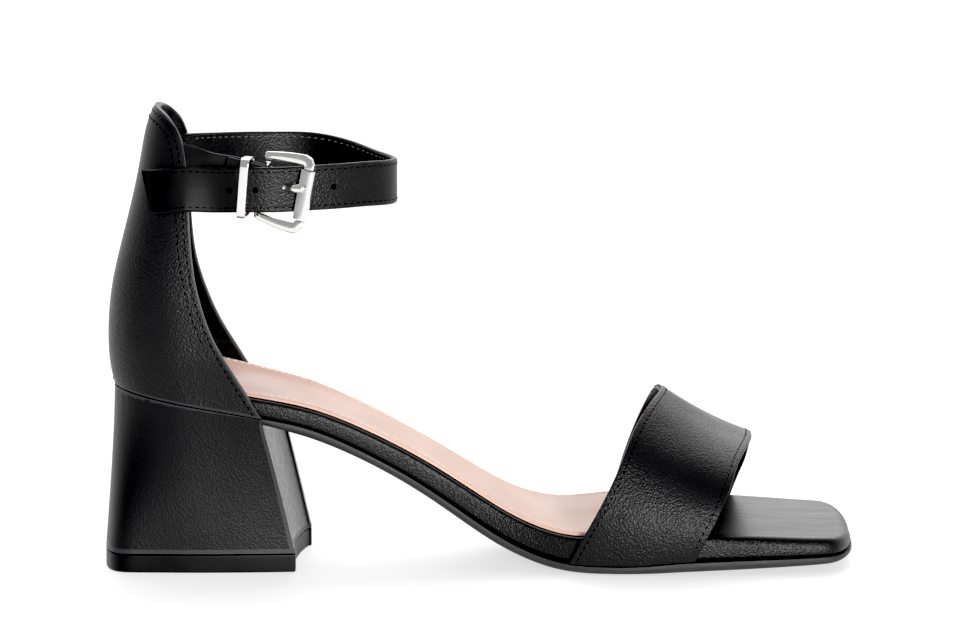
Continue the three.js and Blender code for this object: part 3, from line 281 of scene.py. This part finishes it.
def welded(node):
    """The node's mesh as a bmesh of welded corners."""
    mesh = bmesh.new()
    mesh.from_mesh(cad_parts[node].data)
    bmesh.ops.remove_doubles(mesh, verts=mesh.verts, dist=0.004 * MM)
    bmesh.ops.dissolve_degenerate(mesh, edges=mesh.edges, dist=0.004 * MM)
    mesh.normal_update()
    return mesh


def publish(mesh, name, materials, replaces=None):
    """A new object from a bmesh, riding on the sandal, with the given materials; the node it replaces, where that
    is given, is hidden.
    """
    data = bpy.data.meshes.new(name)
    mesh.to_mesh(data)
    mesh.free()
    piece = bpy.data.objects.new(name, data)
    bpy.context.scene.collection.objects.link(piece)
    for material in materials:
        data.materials.append(material)
    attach(piece, "root")
    if replaces:
        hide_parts(replaces)
    return piece


def skin(node, materials, choose=None, edge=0.35 * MM, sharp=38, levels=2, highlight_trim=-1):
    """Stands for a node: its own faces with rounded edges and a finer, smooth surface.
    The rounded edges take the material at the place trim, where that is given: edge paint, lighter than the
    leather, that paints a highlight line along them."""
    mesh = welded(node)
    bmesh.ops.join_triangles(
        mesh,
        faces=mesh.faces,
        angle_face_threshold=math.radians(22),
        angle_shape_threshold=math.radians(75),
        topology_influence=0.5,
    )
    mesh.normal_update()
    for face in mesh.faces:
        face.smooth = True
        if choose:
            face.material_index = choose(face)
    piece = publish(mesh, node + "_finish", materials, node)
    bevel = piece.modifiers.new("edges", "BEVEL")
    bevel.width = edge
    bevel.segments = 2
    bevel.limit_method = "ANGLE"
    bevel.angle_limit = math.radians(sharp)
    bevel.harden_normals = False
    bevel.material = highlight_trim
    rounder = piece.modifiers.new("smooth", "SUBSURF")
    rounder.levels = rounder.render_levels = levels
    return piece


# Stitching

def rim(node, on_face, on_side, least=30):
    """Chains of a node's sharp edges that lie between a face that passes on_face and one that passes on_side.
    Each chain is a list of (point, way into the first face) pairs."""
    mesh = welded(node)
    found = {}
    for edge in mesh.edges:
        if len(edge.link_faces) != 2 or edge.calc_face_angle(0) < math.radians(least):
            continue
        for face, side in (edge.link_faces, reversed(edge.link_faces)):
            if on_face(face) and on_side(side):
                along = (edge.verts[1].co - edge.verts[0].co).normalized()
                inward = face.normal.cross(along)
                if inward.dot(face.calc_center_median() - edge.verts[0].co) < 0:
                    inward.negate()
                found[edge] = inward
    chains = []
    left = dict.fromkeys(found)
    while left:
        edge = next(iter(left))
        del left[edge]
        chain = [edge.verts[0], edge.verts[1]]
        ways = {edge.verts[0]: [found[edge]], edge.verts[1]: [found[edge]]}
        grown = True
        while grown:
            grown = False
            for end in (-1, 0):
                vert = chain[end]
                for other in vert.link_edges:
                    if other in left:
                        del left[other]
                        after = other.other_vert(vert)
                        chain.insert(len(chain) if end else 0, after)
                        ways.setdefault(after, []).append(found[other])
                        ways[vert].append(found[other])
                        grown = True
                        break
        if len(chain) > 3:
            chains.append([(v.co.copy(), sum(ways[v], Vector()).normalized()) for v in chain])
    tree = BVHTree.FromBMesh(mesh)
    mesh.free()
    return chains, tree


def smoothed(chain, rounds=2):
    for _ in range(rounds):
        middle = [
            tuple((a * 0.25 + b * 0.5 + c * 0.25) for a, b, c in zip(chain[i - 1], chain[i], chain[i + 1]))
            for i in range(1, len(chain) - 1)
        ]
        chain = [chain[0], *middle, chain[-1]]
    return chain


def along(points, pitch, start, end):
    """Places at every pitch along a line of points, with the direction of the line there."""
    places = []
    gone = 0.0
    due = start
    total = sum((b - a).length for a, b in zip(points, points[1:]))
    for a, b in zip(points, points[1:]):
        length = (b - a).length
        while due <= gone + length and due < total - end:
            if length:
                places.append((a.lerp(b, (due - gone) / length), (b - a) / length))
            due += pitch
        gone += length
    return places


def sew(name, rows, material, pitch=STITCH_PITCH, length=STITCH_LENGTH, radius=STITCH_RADIUS, keep=None):
    """Stitches along rows. A row is (chains, tree, inset, margin)."""
    mesh = bmesh.new()
    for (chains, tree), inset, margin in rows:
        for chain in chains:
            line = [p + way * inset for p, way in smoothed(chain)]
            for spot, direction in along(line, pitch, margin, margin):
                if keep and not keep(spot):
                    continue
                found = tree.find_nearest(spot)
                if found[0] is None:
                    continue
                normal = found[1]
                direction = (direction - normal * direction.dot(normal)).normalized()
                side = normal.cross(direction)
                turn = Matrix((direction, side, normal)).transposed().to_4x4()
                place = Matrix.Translation(found[0] - normal * STITCH_SUNK * radius) @ turn
                size = Matrix.Diagonal((length / 2, radius, radius, 1))
                bmesh.ops.create_icosphere(mesh, subdivisions=1, radius=1, matrix=place @ size)
    for face in mesh.faces:
        face.smooth = True
    return publish(mesh, name, [material])


def punched(node, longest=16 * MM):
    """Centre, axis and radius of the rim of each hole: the node's sharp edges that join up in a short ring."""
    mesh = welded(node)
    inner = (e for e in mesh.edges if len(e.link_faces) == 2)
    left = dict.fromkeys(e for e in inner if e.calc_face_angle(0) > math.radians(50))
    rings = []
    while left:
        ring = [next(iter(left))]
        del left[ring[0]]
        for edge in ring:
            for other in (o for v in edge.verts for o in v.link_edges):
                if other in left:
                    del left[other]
                    ring.append(other)
        if sum(e.calc_length() for e in ring) > longest or len(ring) < 6:
            continue
        corners = dict.fromkeys(v for e in ring for v in e.verts)
        centre = sum((v.co for v in corners), Vector()) / len(corners)
        faces = dict.fromkeys(f for e in ring for f in e.link_faces)
        axis = max(faces, key=lambda f: f.calc_area()).normal.copy()
        radius = sum((v.co - centre).length for v in corners) / len(corners)
        rings.append((centre, axis, radius))
    mesh.free()
    return rings


def shade_holes(node, name, depth=0.45 * MM):
    """A dark disc a little way down each hole: painted shade inside it."""
    mesh = bmesh.new()
    for centre, axis, radius in punched(node):
        turn = axis.to_track_quat("Z", "Y").to_matrix().to_4x4()
        place = Matrix.Translation(centre - axis * depth) @ turn
        bmesh.ops.create_cone(mesh, cap_ends=True, segments=24, radius1=1.04 * radius, radius2=0.98 * radius,
                              depth=0.2 * MM, matrix=place)
    return publish(mesh, name, [HOLE_SHADE])


def away_from(centre):
    """Passes faces that look away from an upright axis through centre."""
    def test(face):
        out = face.calc_center_median() - centre
        return Vector((out.x, out.y, 0)).normalized().dot(face.normal) > 0.3
    return test


def middle_of(node):
    low, high = (Vector(corner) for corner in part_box(node))
    return (low + high) / 2


def upper():
    heel_axis = middle_of("counter") + Vector((12 * MM, 0, 0))
    outside = away_from(heel_axis)
    # The counter's rounded edges take the lighter edge paint: a painted highlight line
    skin("counter", [GRAIN, SMOOTH, PAINTED_EDGE_HIGHLIGHT], lambda face: 0 if outside(face) else 1, 0.2 * MM, 50, highlight_trim=2)
    edge = rim("counter", outside, lambda face: face.normal.x > 0.25 or face.normal.z > 0.35, 45)
    strap_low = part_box("ankle_strap")[0][2]
    sew("counter_stitches", [(edge, COUNTER_ROW, 3 * MM)], DARK_THREAD)
    above = lambda spot: spot.z > strap_low - SECOND_ROW_DROP
    sew("counter_second_row", [(edge, COUNTER_SECOND_ROW, 6 * MM)], DARK_THREAD, keep=above)

    centre = middle_of("vamp_strap") - Vector((0, 0, 30 * MM))
    def over(face):
        out = face.calc_center_median() - centre
        return Vector((0, out.y, out.z)).normalized().dot(face.normal) > 0.35
    skin("vamp_strap", [GRAIN, SMOOTH], lambda face: 0 if over(face) else 1, 0.45 * MM, 50)
    front = rim("vamp_strap", over, lambda face: face.normal.x > 0.4, 45)
    rear = rim("vamp_strap", over, lambda face: face.normal.x < -0.4, 45)
    sew("vamp_stitches", [(front, VAMP_ROW, 3 * MM), (rear, VAMP_ROW, 3 * MM)], DARK_THREAD)


def straps():
    outside = away_from(middle_of("ankle_strap"))
    tip_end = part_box("keeper")[0][0]
    def tip(face):
        middle = face.calc_center_median()
        return 1 if middle.x < tip_end and middle.y < 0 and outside(face) else 0
    skin("ankle_strap", [GRAIN, MATT], tip, 0.2 * MM, 35)
    skin("buckle_strap", [SMOOTH], None, 0.15 * MM, 35)
    def flat(face):
        return abs(face.normal.z) < 0.2
    def edge_of(face):
        return 0.3 < abs(face.normal.z) < 0.9
    outer = rim("ankle_strap", lambda face: flat(face) and outside(face), edge_of, 25)
    inner = rim("ankle_strap", lambda face: flat(face) and not outside(face), edge_of, 25)
    for name, row, material in (
        ("ankle_strap_stitches", outer, DARK_THREAD),
        ("ankle_strap_inner_stitches", inner, MID_THREAD),
    ):
        sew(name, [(row, STRAP_ROW, 2 * MM)], material, radius=STRAP_STITCH_RADIUS)
    # Dark discs in the punched holes: painted shade
    shade_holes("ankle_strap", "ankle_strap_holes")


def sole():
    skin("outsole", [SOLE], None, 0.1 * MM, 45)
    skin("footbed", [GRAIN, SMOOTH], lambda face: 1 if face.normal.z > 0.6 else 0, 0.08 * MM, 60)
    skin("insole", [SOCK], None, 0.15 * MM, 60)
    top = rim("insole", lambda face: face.normal.z > 0.75, lambda face: 0.2 < face.normal.z <= 0.75, 12)
    keep = lambda spot: spot.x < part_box("insole")[1][0] - 4 * MM
    sew("insole_stitches", [(top, SOCK_ROW, 3 * MM)], NUDE_THREAD, keep=keep)


def heel():
    def breast(face):
        return 1 if face.normal.x > 0.6 and abs(face.normal.y) < 0.6 else 0
    # The heel's rounded edges take the lighter edge paint: a painted highlight line
    skin("heel_block", [HEEL_GRAIN, PATENT, PAINTED_EDGE_HIGHLIGHT], breast, 0.2 * MM, 38, highlight_trim=2)
    skin("heel_tip", [TIP], None, 0.3 * MM, 38)


def metal():
    for node, edge, sharp in (
        ("keeper", 0.3 * MM, 40),
        ("buckle_frame", 0.12 * MM, 22),
        ("buckle_roller", 0.12 * MM, 30),
        ("buckle_pin", 0.15 * MM, 50),
        ("buckle_prong", 0.1 * MM, 60),
    ):
        skin(node, [METAL], None, edge, sharp)


# Studio

def studio():
    """A white floor under a bright backdrop, with a soft box above and behind and one in front on the right."""
    mesh = bmesh.new()
    bmesh.ops.create_grid(mesh, x_segments=1, y_segments=1, size=FLOOR_SIZE)
    data = bpy.data.meshes.new("floor")
    mesh.to_mesh(data)
    mesh.free()
    floor = bpy.data.objects.new("floor", data)
    data.materials.append(floor_material())
    bpy.context.scene.collection.objects.link(floor)

    world = bpy.data.worlds.new("studio")
    world.use_nodes = True
    tree = world.node_tree
    direction = tree.nodes.new("ShaderNodeTexCoord").outputs["Generated"]
    split = tree.nodes.new("ShaderNodeSeparateXYZ")
    tree.links.new(direction, split.inputs[0])
    ramp = tree.nodes.new("ShaderNodeMapRange")
    ramp.interpolation_type = "SMOOTHSTEP"
    tree.links.new(split.outputs["Y"], ramp.inputs["Value"])
    for socket, value in (
        ("From Min", BACKDROP_FROM),
        ("From Max", BACKDROP_FULL),
        ("To Min", ROOM_LIGHT),
        ("To Max", BACKDROP_LIGHT),
    ):
        ramp.inputs[socket].default_value = value
    background = tree.nodes["Background"]
    background.inputs["Color"].default_value = (1, 1, 1, 1)
    tree.links.new(ramp.outputs["Result"], background.inputs["Strength"])
    bpy.context.scene.world = world

    for name, power, spread, azimuth, elevation in LAMPS:
        lamp = bpy.data.lights.new(name, "SUN")
        lamp.energy = power
        lamp.angle = math.radians(spread)
        light = bpy.data.objects.new(name, lamp)
        turn = Matrix.Rotation(math.radians(azimuth), 4, "Z")
        light.matrix_world = turn @ Matrix.Rotation(math.radians(90 - elevation), 4, "X")
        bpy.context.scene.collection.objects.link(light)


def camera():
    data = bpy.data.cameras.new("camera")
    data.sensor_width = SENSOR_WIDTH
    data.lens = LENS
    data.clip_start = 0.05
    data.clip_end = 50
    view = bpy.data.objects.new("camera", data)
    back = Vector((0, -math.cos(VIEW_ELEVATION), math.sin(VIEW_ELEVATION)))
    view.location = VIEW_TARGET + back * VIEW_DISTANCE
    view.rotation_euler = (math.pi / 2 - VIEW_ELEVATION, 0, 0)
    bpy.context.scene.collection.objects.link(view)
    bpy.context.scene.camera = view
    settings = bpy.context.scene.view_settings
    settings.view_transform = "Standard"
    settings.use_curve_mapping = True
    settings.curve_mapping.black_level = (BLACK_LEVEL,) * 3
    settings.curve_mapping.update()


camera()
studio()
sole()
heel()
upper()
straps()
metal()
